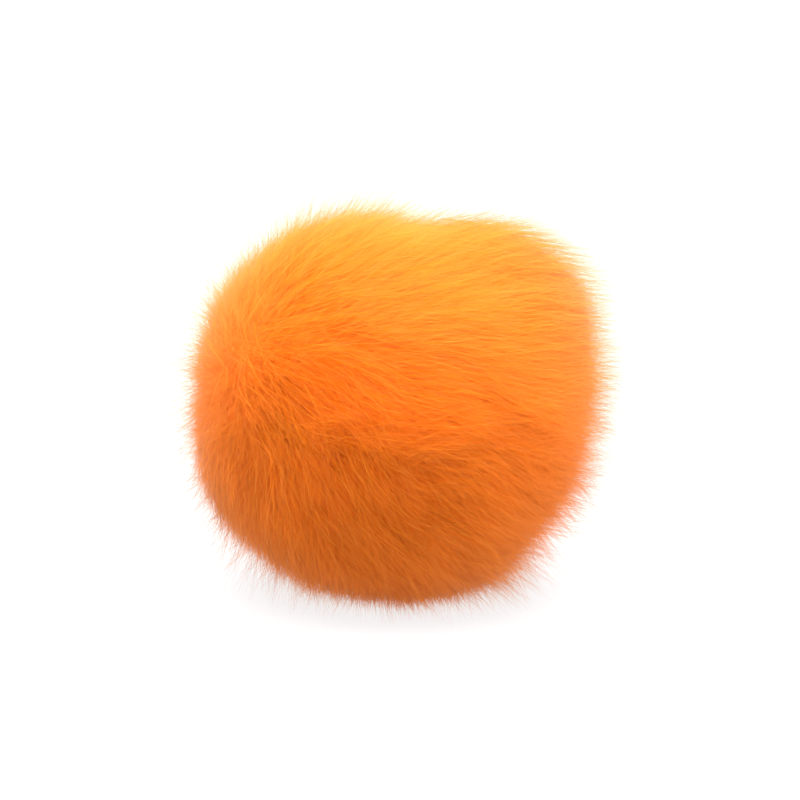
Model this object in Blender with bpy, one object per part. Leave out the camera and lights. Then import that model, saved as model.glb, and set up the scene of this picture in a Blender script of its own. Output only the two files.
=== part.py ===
"""A fur pom pom, 80 mm across, resting on a surface.

The dyed fur is one solid: a round backing covered all over with pointed locks of hair.
The locks stand apart and are fused to the backing at their roots. They are combed away
from a crown at the left of the front, and high on the ball they are pulled over to the
right. Under the ball they are short and end level on the surface. The front faces -Y, and
+Z is up.
"""

import math
import random

import bmesh
import bpy
from mathutils import Vector, noise

# The ball, in metres
BACKING_RADIUS = 0.0315
LOCK_RISE = 0.0085
CENTRE_HEIGHT = 0.0378
FLOOR_GAP = 0.0003

# The locks. A hull of n points has 2n - 4 faces, and each face grows one lock.
ROOT_POINTS = 150
ROOT_JITTER = 0.022
RISE_VARIES = 0.10
SWEEP = 0.26
SWEEP_CURVE = 1.4
SWAY = 0.30
SWAY_SCALE = 2.2
SEED = 7

# Blender seeds its noise from the clock unless it is given a number
NOISE_SEED = 1796005117

# Sections of a lock, root first: share of the rise, share of the root face's width
LOCK_SECTIONS = (
    (0.00, 0.92),
    (0.28, 0.82),
    (0.58, 0.62),
    (0.82, 0.34),
)
PRESSED_SECTIONS = (
    (0.00, 0.94),
    (0.50, 0.86),
    (1.00, 0.70),
)

# The hair parts at a crown, and high on the ball it is also pulled to one side
CROWN = Vector((-0.74, -0.60, 0.30)).normalized()
COMB = Vector((0.90, 0.0, -0.45)).normalized()
CROWN_SIZE = 0.35
CROWN_STRENGTH = 0.75
COMB_STRENGTH = 0.90
COMB_FROM_HEIGHT = 0.05
COMB_FULL_HEIGHT = 0.95

# Under the ball the locks point straight down and end on the surface, in radians from down
PRESSED_WITHIN = math.radians(19)
SWEPT_FROM = math.radians(24)
SWEPT_FULLY = math.radians(50)

# Uneven fullness: angle round the front view from the right, how far round to the front,
# how far it stands out in metres, and its spread in radians
LUMPS = (
    {"angle": 42, "front": 0.0, "rise": 0.0040, "spread": 0.42},
    {"angle": 88, "front": 0.0, "rise": -0.0046, "spread": 0.37},
    {"angle": 130, "front": 0.0, "rise": -0.0012, "spread": 0.24},
    {"angle": 160, "front": 0.1, "rise": 0.0010, "spread": 0.20},
    {"angle": 181, "front": 0.0, "rise": -0.0012, "spread": 0.26},
    {"angle": 218, "front": 0.2, "rise": 0.0014, "spread": 0.36},
    {"angle": 293, "front": 0.1, "rise": 0.0012, "spread": 0.32},
    {"angle": 335, "front": 0.0, "rise": -0.0010, "spread": 0.34},
    {"angle": 280, "front": 2.5, "rise": -0.0012, "spread": 0.35},
    {"angle": 80, "front": 9.0, "rise": 0.0010, "spread": 0.35},
)

FUR_COLOUR = (0.95, 0.25, 0.02, 1.0)
FUR_ROUGHNESS = 0.9


def clear_scene():
    for existing in list(bpy.data.objects):
        bpy.data.objects.remove(existing)


def smooth_step(low, high, value):
    share = min(1.0, max(0.0, (value - low) / (high - low)))
    return share * share * (3 - 2 * share)


def across(vector, direction):
    """The part of a vector that lies along the ball's surface at a direction."""
    return vector - direction * vector.dot(direction)


def lump_rise(direction):
    """How far the fur stands out past a true ball at a direction."""
    total = 0.0
    for lump in LUMPS:
        angle = math.radians(lump["angle"])
        peak = Vector((math.cos(angle), -lump["front"], math.sin(angle))).normalized()
        away = direction.angle(peak)
        total += lump["rise"] * math.exp(-((away / lump["spread"]) ** 2))
    return total


def combed(direction):
    """Which way the fur is combed at a direction, along the surface."""
    from_crown = -across(CROWN, direction)
    parted = from_crown / math.hypot(from_crown.length, CROWN_SIZE) * CROWN_STRENGTH
    pull = smooth_step(COMB_FROM_HEIGHT, COMB_FULL_HEIGHT, direction.z)
    comb = across(COMB, direction) * pull * COMB_STRENGTH
    sway = across(noise.noise_vector(direction * SWAY_SCALE), direction) * SWAY
    from_down = direction.angle(Vector((0, 0, -1)))
    return (parted + comb + sway) * smooth_step(SWEPT_FROM, SWEPT_FULLY, from_down)


def to_floor(direction):
    """How far it is from the ball's centre to the surface below along a direction."""
    return CENTRE_HEIGHT / -direction.z if direction.z < 0 else math.inf


def placed(root, share, rise):
    """The point that hair from a root direction reaches at a share of a lock's rise."""
    swept = (root + combed(root) * SWEEP * share**SWEEP_CURVE).normalized()
    height = BACKING_RADIUS + lump_rise(root) + rise * share
    return swept * min(height, to_floor(swept) - FLOOR_GAP)


def root_directions():
    """Directions spread evenly in a spiral over the ball, each a little out of place."""
    spread = random.Random(SEED)
    golden_angle = math.pi * (3 - math.sqrt(5))
    directions = []
    for i in range(ROOT_POINTS):
        z = 1 - (2 * i + 1) / ROOT_POINTS
        ring = math.sqrt(1 - z * z)
        turn = i * golden_angle
        even = Vector((ring * math.cos(turn), ring * math.sin(turn), z))
        shift = Vector(spread.gauss(0, ROOT_JITTER) for _ in range(3))
        directions.append((even + shift).normalized())
    return directions


def backing_mesh():
    """A ball of flat faces, one for each lock, turned so that one face is straight down."""
    bm = bmesh.new()
    for direction in root_directions():
        bm.verts.new(direction)
    bmesh.ops.convex_hull(bm, input=bm.verts)
    down = Vector((0, 0, -1))
    lowest = max(bm.faces, key=lambda face: face.calc_center_median().normalized().dot(down))
    turn = lowest.calc_center_median().rotation_difference(down)
    bmesh.ops.rotate(bm, verts=bm.verts, cent=(0, 0, 0), matrix=turn.to_matrix())
    return bm


def grow_lock(bm, face, rise):
    """Grows one lock from a face: pointed, or flat ended where it presses on the surface."""
    roots = [vert.co.normalized() for vert in face.verts]
    middle = face.calc_center_median().normalized()
    pressed = middle.angle(Vector((0, 0, -1))) < PRESSED_WITHIN
    for share, width in PRESSED_SECTIONS if pressed else LOCK_SECTIONS:
        face = bmesh.ops.extrude_discrete_faces(bm, faces=[face])["faces"][0]
        for vert, root in zip(face.verts, roots):
            narrowed = middle.lerp(root, width).normalized()
            if pressed:
                vert.co = placed(narrowed, 0.0, rise).lerp(narrowed * to_floor(narrowed), share)
            else:
                vert.co = placed(narrowed, share, rise)
    if not pressed:
        tip = bmesh.ops.poke(bm, faces=[face])["verts"][0]
        tip.co = placed(middle, 1.0, rise)


def fur_ball():
    """The whole pom pom as one closed mesh round its own centre."""
    vary = random.Random(SEED + 1)
    bm = backing_mesh()
    root_faces = sorted(bm.faces, key=lambda face: tuple(face.calc_center_median()))
    backing = list(bm.verts)
    for face in root_faces:
        rise = LOCK_RISE * vary.uniform(1 - RISE_VARIES, 1 + RISE_VARIES)
        grow_lock(bm, face, rise)
    for vert in backing:
        vert.co = placed(vert.co.normalized(), 0.0, LOCK_RISE)
    bmesh.ops.triangulate(bm, faces=bm.faces)
    bmesh.ops.recalc_face_normals(bm, faces=bm.faces)
    mesh = bpy.data.meshes.new("fur_ball")
    bm.to_mesh(mesh)
    bm.free()
    return mesh


def fur_material():
    material = bpy.data.materials.new("orange_fur")
    material.use_nodes = True
    shader = material.node_tree.nodes["Principled BSDF"]
    shader.inputs["Base Color"].default_value = FUR_COLOUR
    shader.inputs["Roughness"].default_value = FUR_ROUGHNESS
    shader.inputs["Metallic"].default_value = 0.0
    return material


def main():
    noise.seed_set(NOISE_SEED)
    clear_scene()
    collection = bpy.data.collections.new("pom_pom")
    bpy.context.scene.collection.children.link(collection)
    mesh = fur_ball()
    mesh.materials.append(fur_material())
    ball = bpy.data.objects.new("fur_ball", mesh)
    middle = [
        (min(v.co[axis] for v in mesh.vertices) + max(v.co[axis] for v in mesh.vertices)) / 2
        for axis in range(2)
    ]
    ball.location = (-middle[0], -middle[1], CENTRE_HEIGHT)
    collection.objects.link(ball)


main()
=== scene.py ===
"""The looks of a fur pom pom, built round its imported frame.

A dense bed of fur holds up the coat: an undercoat in soft wisps, a topcoat of longer
hairs and a thin halo of stray ones. Each hair is a closed, tapered, three-sided strand,
and all follow the same comb field as the solid's locks. The front faces -Y.
"""

import math

import bmesh
import bpy
import numpy as np
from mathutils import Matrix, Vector, kdtree, noise


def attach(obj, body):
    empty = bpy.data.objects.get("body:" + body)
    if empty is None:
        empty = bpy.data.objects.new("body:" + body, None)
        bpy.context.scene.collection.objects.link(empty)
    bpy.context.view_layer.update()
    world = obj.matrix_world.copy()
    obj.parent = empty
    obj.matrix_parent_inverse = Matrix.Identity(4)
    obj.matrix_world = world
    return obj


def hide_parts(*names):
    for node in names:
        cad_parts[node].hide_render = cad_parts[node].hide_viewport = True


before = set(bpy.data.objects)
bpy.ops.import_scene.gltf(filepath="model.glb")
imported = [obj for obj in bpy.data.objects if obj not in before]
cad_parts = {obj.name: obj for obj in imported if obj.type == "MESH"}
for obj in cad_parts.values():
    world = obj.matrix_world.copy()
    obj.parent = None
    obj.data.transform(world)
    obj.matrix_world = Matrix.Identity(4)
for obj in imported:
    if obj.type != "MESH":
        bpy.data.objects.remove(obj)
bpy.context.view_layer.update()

# The ball, in metres, as the solid has it
BALL_CENTRE = Vector((-0.0010977, 0.0005916, 0.0378))
BACKING_RADIUS = 0.0315
LOCK_RISE = 0.0085

# The hair parts at a crown, and high on the ball it is also pulled to one side, as on the solid
CROWN = np.array(Vector((-0.74, -0.60, 0.30)).normalized())
COMB = np.array(Vector((0.90, 0.0, -0.25)).normalized())
DOWN = np.array((0.0, 0.0, -1.0))
CROWN_SIZE = 0.35
CROWN_STRENGTH = 0.75
CROWN_SPREAD = 0.45
CROWN_STRAY = 2.0
COMB_STRENGTH = 0.90
COMB_FROM_HEIGHT = -0.10
COMB_FULL_HEIGHT = 0.95
SWAY = 0.30
SWAY_SCALE = 2.2
SWEPT_FROM = math.radians(24)
SWEPT_FULLY = math.radians(50)

# Blender seeds its noise from the clock unless it is given a number, here the solid's
noise.seed_set(1796005117)

# Uneven fullness, as on the solid
LUMPS = (
    {"angle": 42, "front": 0.0, "rise": 0.0040, "spread": 0.42},
    {"angle": 88, "front": 0.0, "rise": -0.0046, "spread": 0.37},
    {"angle": 130, "front": 0.0, "rise": -0.0012, "spread": 0.24},
    {"angle": 160, "front": 0.1, "rise": 0.0010, "spread": 0.20},
    {"angle": 181, "front": 0.0, "rise": -0.0012, "spread": 0.26},
    {"angle": 218, "front": 0.2, "rise": 0.0014, "spread": 0.36},
    {"angle": 293, "front": 0.1, "rise": 0.0012, "spread": 0.32},
    {"angle": 335, "front": 0.0, "rise": -0.0010, "spread": 0.34},
    {"angle": 280, "front": 2.5, "rise": -0.0012, "spread": 0.35},
    {"angle": 80, "front": 9.0, "rise": 0.0010, "spread": 0.35},
)

# Where the coat starts lower or higher than that, as hair combed over fills or bares the ball
COAT_LUMPS = (
    {"angle": 72, "front": 0.0, "rise": -0.0042, "spread": 0.42},
    {"angle": 92, "front": 0.0, "rise": 0.0020, "spread": 0.30},
    {"angle": 30, "front": 0.0, "rise": 0.0012, "spread": 0.22},
    {"angle": 225, "front": 0.0, "rise": -0.0010, "spread": 0.35},
    {"angle": 316, "front": 0.0, "rise": -0.0034, "spread": 0.24},
)

# At the front the hair above a slanted plane lies as a ragged flap over the hair below it
FLAP_AXIS = np.array(Vector((0.0, 0.19, 0.98)).normalized())
FLAP_MIDDLE = np.array(Vector((-0.05, -0.98, 0.10)).normalized())
FLAP_FROM = math.radians(25)
FLAP_TO = math.radians(62)
FLAP_RISE = 0.0022
FLAP_RAGGED = 0.17

# The side where the fur is loosest, and how much lower its dense part lies there
LOOSE_SIDE = np.array(Vector((0.86, -0.10, 0.50)).normalized())
LOOSE_DROP = 0.0025

# The side where the fluff is thickest, where its pale tips are painted light that makes this side
# paler
FLUFFY_PAINTED_LIGHT_SIDE = np.array(Vector((0.85, -0.45, -0.20)).normalized())

# Wisps and tufts that hairs gather into
TUFTS = 380
WISPS = 3600
SHADES = 32

# The dense lower fur, as a share of a lock's rise, and how lumpy the fur is
BED_RISE = 0.64
BUMPS = (
    {"scale": 3.4, "place": 40.0, "rise": 0.0012},
    {"scale": 9.0, "place": 80.0, "rise": 0.0006},
)

# The share of its rise at which a hair passes over the spot that it was spread to
MIDDLE = 0.85
LAY_CURVE = 1.3

# Each coat: hairs, where most of them are, rings along a hair, greatest width, where it starts
# as a share of its rise, its rise as shares of a lock's, how far it lies over in radians, its
# pull to its wisp, how far it strays, and how far its shading follows the ball's roundness
COATS = (
    {"name": "undercoat", "seed": 11, "hairs": 42000, "most": "even", "rings": 1,
     "width": 0.00014, "start": 0.55, "rise": (0.70, 1.05), "lay": 0.45, "gather": 0.15,
     "stray": 0.12, "few_long": 1.5, "ease": 0.95},
    {"name": "topcoat_a", "seed": 21, "hairs": 40000, "most": "even", "rings": 1,
     "width": 0.00009, "start": 0.55, "rise": (0.72, 1.15), "lay": 0.50, "gather": 0.20,
     "stray": 0.12, "few_long": 1.5, "ease": 0.95},
    {"name": "topcoat_b", "seed": 22, "hairs": 40000, "most": "even", "rings": 1,
     "width": 0.00008, "start": 0.55, "rise": (0.72, 1.25), "lay": 0.54, "gather": 0.20,
     "stray": 0.12, "few_long": 1.7, "ease": 0.95},
    {"name": "guard_hairs", "seed": 31, "hairs": 10000, "most": "below", "rings": 3,
     "width": 0.00007, "start": 0.48, "rise": (0.80, 1.25), "lay": 0.72, "gather": 0.20,
     "stray": 0.13, "few_long": 1.0, "ease": 0.45},
    {"name": "fluff_a", "seed": 41, "hairs": 40000, "most": "loose", "rings": 1,
     "width": 0.00007, "start": 0.28, "rise": (0.70, 1.95), "lay": 0.24, "gather": 0.10,
     "stray": 0.45, "few_long": 2.2, "ease": 0.90},
    {"name": "fluff_b", "seed": 42, "hairs": 40000, "most": "loose", "rings": 1,
     "width": 0.00006, "start": 0.28, "rise": (0.70, 2.15), "lay": 0.24, "gather": 0.10,
     "stray": 0.45, "few_long": 2.4, "ease": 0.90},
)

# Colours at the root, middle and tip of a hair
FUR_COLOURS = ((0.88, 0.152, 0.003, 1.0), (0.89, 0.163, 0.004, 1.0), (0.90, 0.178, 0.006, 1.0))
# The fluff's roots are the fur's own colour; its paler tips are painted sheen and light, laid on
# most at the lower right
FLUFF_PAINTED_SHEEN_COLOURS = ((0.88, 0.165, 0.005, 1.0), (0.90, 0.205, 0.018, 1.0), (0.91, 0.27, 0.065, 1.0))
# The guard hairs' roots are the fur's own colour; their paler tips are a painted highlight, for
# overhead light catching the outer hairs
GUARD_HAIR_PAINTED_HIGHLIGHT_COLOURS = ((0.88, 0.18, 0.006, 1.0), (0.92, 0.25, 0.016, 1.0), (0.94, 0.33, 0.035, 1.0))

# How hairs differ in colour, from the deepest shade to the lightest
HAIR_VARIES = (
    ("Hue", 0.497, 0.503),
    ("Value", 0.97, 1.0),
)

# The studio: a pale floor that glows like a light table, even surroundings and broad lights
FLOOR_COLOUR = (0.12, 0.12, 0.12, 1.0)
FLOOR_GLOW = 0.84
FLOOR_REACH = 30.0
WORLD_LIGHT = 1.0
LIGHTS = (
    {"name": "overhead", "towards": (0.0, -0.22, 1.0), "spread": 60, "power": 9.0},
    {"name": "right", "towards": (1.0, -0.15, 0.10), "spread": 60, "power": 2.2},
    {"name": "left", "towards": (-1.0, 0.35, 0.20), "spread": 60, "power": 1.3},
)


def unit(vectors):
    return vectors / np.linalg.norm(vectors, axis=-1, keepdims=True)


def dot(a, b):
    return np.sum(a * b, axis=-1, keepdims=True)


def across(vectors, directions):
    """The part of each vector that lies along the ball's surface."""
    return vectors - directions * dot(vectors, directions)


def smooth_step(low, high, values):
    share = np.clip((values - low) / (high - low), 0.0, 1.0)
    return share * share * (3 - 2 * share)


def angle_between(directions, other):
    return np.arccos(np.clip(dot(directions, other), -1.0, 1.0))


def noise_vectors(directions, scale, place=0.0):
    """Smooth random vectors at each direction. Place picks another part of the noise."""
    shift = Vector((place, 0.0, 0.0))
    return np.array([noise.noise_vector(Vector(d) * scale + shift) for d in directions])


def lump_rise(directions):
    """How far the fur stands out past a true ball."""
    total = np.zeros((len(directions), 1))
    for lump in (*LUMPS, *COAT_LUMPS):
        angle = math.radians(lump["angle"])
        peak = unit(np.array((math.cos(angle), -lump["front"], math.sin(angle))))
        away = angle_between(directions, peak)
        total += lump["rise"] * np.exp(-((away / lump["spread"]) ** 2))
    return total


def above_flap(directions):
    return smooth_step(-0.12, 0.08, dot(directions, FLAP_AXIS))


def flap_rise(directions):
    """How far the upper fur stands out over the lower fur, most at its edge."""
    ragged = noise_vectors(directions, 3.6, 20.0)[:, :1] * FLAP_RAGGED
    over = dot(directions, FLAP_AXIS) + ragged
    edge = smooth_step(-0.19, -0.09, over) * (1 - smooth_step(-0.09, 0.60, over))
    aside = smooth_step(FLAP_FROM, FLAP_TO, angle_between(directions, FLAP_MIDDLE))
    return FLAP_RISE * edge * (1 - aside)


def bump_rise(directions):
    total = np.zeros((len(directions), 1))
    for bump in BUMPS:
        total += noise_vectors(directions, bump["scale"], bump["place"])[:, :1] * bump["rise"]
    return total


def towards_side(directions, side):
    return smooth_step(-0.3, 0.9, dot(directions, side))


def fullness(directions):
    """How far the dense fur stands out past a true ball, in all."""
    lumps = lump_rise(directions) + flap_rise(directions) + bump_rise(directions)
    return lumps - LOOSE_DROP * towards_side(directions, LOOSE_SIDE)


def combed(directions):
    """Which way the fur is combed, along the surface."""
    from_crown = -across(CROWN, directions)
    reach = np.hypot(np.linalg.norm(from_crown, axis=-1, keepdims=True), CROWN_SIZE)
    parted = from_crown / reach * CROWN_STRENGTH
    pull = smooth_step(COMB_FROM_HEIGHT, COMB_FULL_HEIGHT, directions[:, 2:3])
    comb = across(COMB, directions) * pull * COMB_STRENGTH
    sway = across(noise_vectors(directions, SWAY_SCALE), directions) * SWAY
    from_down = angle_between(directions, DOWN)
    return (parted + comb + sway) * smooth_step(SWEPT_FROM, SWEPT_FULLY, from_down)


def spread_directions(count, rng, jitter):
    """Directions spread evenly in a spiral over the ball, each a little out of place."""
    i = np.arange(count)
    z = 1 - (2 * i + 1) / count
    ring = np.sqrt(1 - z * z)
    turn = i * math.pi * (3 - math.sqrt(5))
    even = np.stack((ring * np.cos(turn), ring * np.sin(turn), z), axis=-1)
    spacing = math.sqrt(4 * math.pi / count)
    return unit(even + rng.normal(0.0, jitter * spacing, even.shape))


def share_of_hairs(directions, most):
    """How many of a coat's hairs grow at each direction, as weights."""
    if most == "loose":
        # More of the pale fluff, and so more painted light, towards the lower right
        return 0.40 + towards_side(directions, FLUFFY_PAINTED_LIGHT_SIDE)[:, 0]
    if most == "below":
        return 1.0 - 0.75 * above_flap(directions)[:, 0]
    return np.ones(len(directions))


def hair_spots(coat, rng):
    spots = spread_directions(coat["hairs"] * 2, rng, 0.5)
    weights = share_of_hairs(spots, coat["most"])
    kept = rng.choice(len(spots), coat["hairs"], replace=False, p=weights / weights.sum())
    return spots[kept]


def nearest(directions, centres):
    """The number of the centre nearest to each direction."""
    tree = kdtree.KDTree(len(centres))
    for i, centre in enumerate(centres):
        tree.insert(centre, i)
    tree.balance()
    return np.array([tree.find(d)[1] for d in directions])


def lie_of_the_fur():
    """The tufts and wisps, with what all the hairs of one share."""
    rng = np.random.default_rng(5)
    tufts = spread_directions(TUFTS, rng, 0.35)
    wisps = spread_directions(WISPS, rng, 0.45)
    tuft_of_wisp = nearest(wisps, tufts)
    return {
        "tufts": tufts,
        "wisps": wisps,
        "tuft_of_wisp": tuft_of_wisp,
        "tuft_rise": rng.uniform(0.92, 1.05, (TUFTS, 1)),
        "tuft_turn": rng.normal(0.0, 0.10, (TUFTS, 3)),
        "wisp_rise": rng.uniform(0.95, 1.04, (WISPS, 1)),
        "wisp_turn": rng.normal(0.0, 0.10, (WISPS, 3)),
        "wisp_shade": rng.uniform(0.0, 1.0, WISPS),
        "wisp_comb": combed(wisps),
    }


FUR = lie_of_the_fur()


def hair_lines(coat, rng):
    """Points along each hair, root first: hairs, rings and tip, xyz; and each hair's wisp."""
    count = coat["hairs"]
    spots = hair_spots(coat, rng)
    wisp = nearest(spots, FUR["wisps"])
    tuft = FUR["tuft_of_wisp"][wisp]
    calm = above_flap(spots)
    to_wisp = (FUR["wisps"][wisp] - spots) * coat["gather"] * (1 - 0.5 * calm)
    to_tuft = (FUR["tufts"][tuft] - FUR["wisps"][wisp]) * 0.30 * (1 - 0.5 * calm)
    turn = FUR["tuft_turn"][tuft] + FUR["wisp_turn"][wisp]
    near_crown = np.exp(-((angle_between(spots, CROWN) / CROWN_SPREAD) ** 2))
    stray = rng.normal(0.0, coat["stray"], (count, 3)) * (1 + CROWN_STRAY * near_crown)
    swept = smooth_step(SWEPT_FROM, SWEPT_FULLY, angle_between(spots, DOWN))
    lean = FUR["wisp_comb"][wisp] + (turn + stray) * (0.35 + 0.65 * swept) * (1 - 0.45 * calm)
    lean = across(lean, spots) * coat["lay"] * (1 + 0.15 * calm)
    low, high = coat["rise"]
    rise = LOCK_RISE * (low + (high - low) * rng.uniform(0.0, 1.0, (count, 1)) ** coat["few_long"])
    rise = rise * FUR["tuft_rise"][tuft] * FUR["wisp_rise"][wisp]
    full = fullness(spots)
    if coat["most"] == "loose":
        full += 0.6 * LOOSE_DROP * towards_side(spots, LOOSE_SIDE)
    floor_gap = rng.uniform(0.0003, 0.0016, (count, 1))
    points = []
    for share in np.linspace(coat["start"], 1.0, coat["rings"] + 1):
        gathered = (to_wisp + to_tuft) * (share - MIDDLE)
        laid = lean * (share**LAY_CURVE - MIDDLE**LAY_CURVE)
        direction = unit(spots + gathered + laid)
        height = BACKING_RADIUS + full + rise * share**0.85
        down = np.maximum(-direction[:, 2:3], 1e-6)
        to_floor = BALL_CENTRE.z / down - floor_gap
        points.append(direction * np.minimum(height, to_floor))
    return np.stack(points, axis=1), wisp


def strand_mesh(coat, lines, rng, wisp):
    """Closed, tapered, three-sided strands along the lines, as one mesh."""
    count, rings = lines.shape[0], lines.shape[1] - 1
    along = unit(np.gradient(lines, axis=1))[:, :rings]
    out = unit(lines[:, :rings])
    side = unit(np.cross(out, along))
    up = np.cross(along, side)
    taper = np.interp(np.linspace(0.0, 1.0, rings + 1)[:rings], (0.0, 0.5, 1.0), (1.0, 0.85, 0.0))
    thick = coat["width"] / 2 * rng.uniform(0.75, 1.2, (count, 1, 1)) * taper[None, :, None]
    roll = rng.uniform(0.0, 2 * math.pi, (count, 1, 1))
    corners = []
    for corner in range(3):
        angle = roll + corner * 2 * math.pi / 3
        corners.append(lines[:, :rings] + thick * (side * np.cos(angle) + up * np.sin(angle)))
    body = np.stack(corners, axis=2).reshape(count, rings * 3, 3)
    points = np.concatenate((body, lines[:, -1:]), axis=1)
    faces = [(0, 2, 1)]
    for ring in range(rings - 1):
        for corner in range(3):
            a, b = ring * 3 + corner, ring * 3 + (corner + 1) % 3
            faces += [(a, b, b + 3), (a, b + 3, a + 3)]
    last = (rings - 1) * 3
    faces += [(last + c, last + (c + 1) % 3, rings * 3) for c in range(3)]
    faces = np.array(faces)
    per_hair = rings * 3 + 1
    all_faces = (faces[None] + np.arange(count)[:, None, None] * per_hair).reshape(-1, 3)

    mesh = bpy.data.meshes.new(coat["name"])
    mesh.vertices.add(count * per_hair)
    world = points.reshape(-1, 3) + np.array(BALL_CENTRE)
    mesh.vertices.foreach_set("co", world.astype(np.float32).ravel())
    mesh.loops.add(all_faces.size)
    mesh.loops.foreach_set("vertex_index", all_faces.astype(np.int32).ravel())
    mesh.polygons.add(len(all_faces))
    mesh.polygons.foreach_set("loop_start", np.arange(0, all_faces.size, 3, dtype=np.int32))
    mesh.update(calc_edges=True)
    mesh.shade_smooth()

    shade = FUR["wisp_shade"][wisp] * 0.5 + rng.uniform(0.0, 1.0, count) * 0.5
    column = np.floor(shade * SHADES).clip(0, SHADES - 1)
    u = np.tile(np.array((0.2, 0.5, 0.8)), rings)
    u = np.append(u, 0.5)
    v = np.append(np.repeat(np.linspace(0.0, 1.0, rings + 1)[:rings], 3), 1.0)
    u = (column[:, None] + u[None]) / SHADES
    v = np.broadcast_to(v, u.shape)
    uv = np.stack((u, 0.02 + 0.96 * v), axis=-1).reshape(-1, 2)
    own = np.zeros(len(mesh.vertices) * 3, np.float32)
    mesh.vertex_normals.foreach_get("vector", own)
    outward = unit(points.reshape(-1, 3))
    eased = unit(outward * coat["ease"] + own.reshape(-1, 3) * (1 - coat["ease"]))
    mesh.normals_split_custom_set_from_vertices(eased.tolist())
    layer = mesh.uv_layers.new(name="OFBake")
    layer.uv.foreach_set("vector", uv[all_faces.ravel()].astype(np.float32).ravel())
    return mesh


def add_piece(name, mesh, material):
    piece = bpy.data.objects.new(name, mesh)
    mesh.materials.append(material)
    bpy.context.scene.collection.objects.link(piece)
    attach(piece, "root")
    return piece


def fur_material(name, root, middle, tip):
    material = bpy.data.materials.new(name)
    material.use_nodes = True
    nodes, links = material.node_tree.nodes, material.node_tree.links
    shader = nodes["Principled BSDF"]
    uv = nodes.new("ShaderNodeUVMap")
    uv.uv_map = "OFBake"
    split = nodes.new("ShaderNodeSeparateXYZ")
    links.new(uv.outputs["UV"], split.inputs["Vector"])
    along = nodes.new("ShaderNodeValToRGB")
    along.color_ramp.elements[0].color = root
    along.color_ramp.elements[1].color = tip
    along.color_ramp.elements.new(0.55).color = middle
    links.new(split.outputs["Y"], along.inputs["Fac"])
    hue = nodes.new("ShaderNodeHueSaturation")
    for name, low, high in HAIR_VARIES:
        vary = nodes.new("ShaderNodeMapRange")
        vary.inputs["To Min"].default_value = low
        vary.inputs["To Max"].default_value = high
        links.new(split.outputs["X"], vary.inputs["Value"])
        links.new(vary.outputs["Result"], hue.inputs[name])
    links.new(along.outputs["Color"], hue.inputs["Color"])
    links.new(hue.outputs["Color"], shader.inputs["Base Color"])
    shader.inputs["Roughness"].default_value = 0.6
    shader.inputs["Specular IOR Level"].default_value = 0.03
    shader.inputs["Sheen Weight"].default_value = 0.40
    shader.inputs["Sheen Roughness"].default_value = 0.4
    shader.inputs["Sheen Tint"].default_value = (1.0, 0.78, 0.52, 1.0)
    return material


def bed_material():
    material = bpy.data.materials.new("deep_fur")
    material.use_nodes = True
    nodes, links = material.node_tree.nodes, material.node_tree.links
    shader = nodes["Principled BSDF"]
    place = nodes.new("ShaderNodeTexCoord")
    stretch = nodes.new("ShaderNodeMapping")
    stretch.inputs["Scale"].default_value = (250.0, 1400.0, 1400.0)
    grain = nodes.new("ShaderNodeTexNoise")
    grain.inputs["Detail"].default_value = 4.0
    ramp = nodes.new("ShaderNodeValToRGB")
    ramp.color_ramp.elements[0].position = 0.3
    ramp.color_ramp.elements[0].color = (0.88, 0.144, 0.003, 1.0)
    ramp.color_ramp.elements[1].position = 0.7
    ramp.color_ramp.elements[1].color = (0.90, 0.170, 0.005, 1.0)
    links.new(place.outputs["Object"], stretch.inputs["Vector"])
    links.new(stretch.outputs["Vector"], grain.inputs["Vector"])
    links.new(grain.outputs["Fac"], ramp.inputs["Fac"])
    links.new(ramp.outputs["Color"], shader.inputs["Base Color"])
    shader.inputs["Roughness"].default_value = 0.9
    return material


def fur_bed():
    """The dense lower fur, a closed lumpy ball that the coats hide."""
    bm = bmesh.new()
    bmesh.ops.create_icosphere(bm, subdivisions=5, radius=1.0)
    directions = unit(np.array([vert.co for vert in bm.verts]))
    height = BACKING_RADIUS + LOCK_RISE * BED_RISE + fullness(directions)
    down = np.maximum(-directions[:, 2:3], 1e-6)
    height = np.minimum(height, BALL_CENTRE.z / down - 0.0012)
    for vert, place in zip(bm.verts, directions * height + np.array(BALL_CENTRE)):
        vert.co = place
    mesh = bpy.data.meshes.new("fur_bed")
    bm.to_mesh(mesh)
    bm.free()
    mesh.shade_smooth()
    return mesh


def build_fur():
    fur = fur_material("dyed_fur", *FUR_COLOURS)
    # The fluff's paler tips are painted sheen and light
    fluff = fur_material("fluff", *FLUFF_PAINTED_SHEEN_COLOURS)
    # The guard hairs' paler tips are a painted highlight, for overhead light catching them
    pale = fur_material("guard_hairs_painted_highlight", *GUARD_HAIR_PAINTED_HIGHLIGHT_COLOURS)
    materials = {"even": fur, "below": pale, "loose": fluff}
    bed = add_piece("fur_bed", fur_bed(), bed_material())
    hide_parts("fur_ball")
    for coat in COATS:
        rng = np.random.default_rng(coat["seed"])
        lines, wisp = hair_lines(coat, rng)
        mesh = strand_mesh(coat, lines, rng, wisp)
        add_piece(coat["name"], mesh, materials[coat["most"]])


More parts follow.
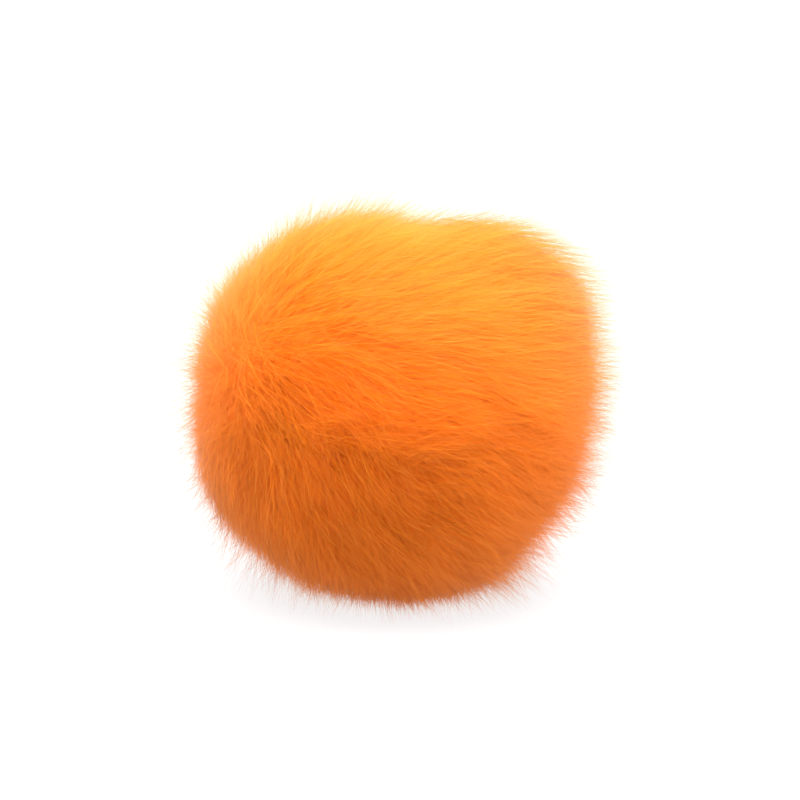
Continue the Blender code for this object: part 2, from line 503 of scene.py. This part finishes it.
def build_stage():
    bm = bmesh.new()
    bmesh.ops.create_grid(bm, x_segments=1, y_segments=1, size=FLOOR_REACH)
    mesh = bpy.data.meshes.new("floor")
    bm.to_mesh(mesh)
    bm.free()
    material = bpy.data.materials.new("pale_floor")
    material.use_nodes = True
    shader = material.node_tree.nodes["Principled BSDF"]
    shader.inputs["Base Color"].default_value = FLOOR_COLOUR
    shader.inputs["Roughness"].default_value = 0.9
    shader.inputs["Specular IOR Level"].default_value = 0.0
    shader.inputs["Emission Color"].default_value = (1.0, 1.0, 1.0, 1.0)
    shader.inputs["Emission Strength"].default_value = FLOOR_GLOW
    mesh.materials.append(material)
    floor = bpy.data.objects.new("floor", mesh)
    floor.location.z = -0.0002
    bpy.context.scene.collection.objects.link(floor)


def sun_light(name, towards, spread, power):
    """A broad, even light from a direction, as wide across as its spread."""
    lamp = bpy.data.lights.new(name, "SUN")
    lamp.angle = math.radians(spread)
    lamp.energy = power
    light = bpy.data.objects.new(name, lamp)
    light.rotation_euler = Vector(towards).to_track_quat("Z", "Y").to_euler()
    bpy.context.scene.collection.objects.link(light)


def build_light():
    world = bpy.data.worlds.new("studio")
    world.use_nodes = True
    background = world.node_tree.nodes["Background"]
    background.inputs["Color"].default_value = (1.0, 1.0, 1.0, 1.0)
    background.inputs["Strength"].default_value = WORLD_LIGHT
    bpy.context.scene.world = world
    for light in LIGHTS:
        sun_light(**light)


def build_camera():
    camera = bpy.data.cameras.new("camera")
    camera.lens = 100.0
    camera.sensor_width = 36.0
    place = bpy.data.objects.new("camera", camera)
    elevation = math.radians(11.0)
    distance = 0.425
    target = Vector((-0.0005, 0.0, 0.0380))
    back = Vector((0.0, -math.cos(elevation), math.sin(elevation)))
    place.location = target + back * distance
    place.rotation_euler = (-back).to_track_quat("-Z", "Y").to_euler()
    bpy.context.scene.collection.objects.link(place)
    bpy.context.scene.camera = place


def set_looks():
    scene = bpy.context.scene
    scene.view_settings.view_transform = "Standard"
    scene.cycles.max_bounces = 8
    scene.cycles.diffuse_bounces = 6


build_camera()
build_fur()
build_stage()
build_light()
set_looks()
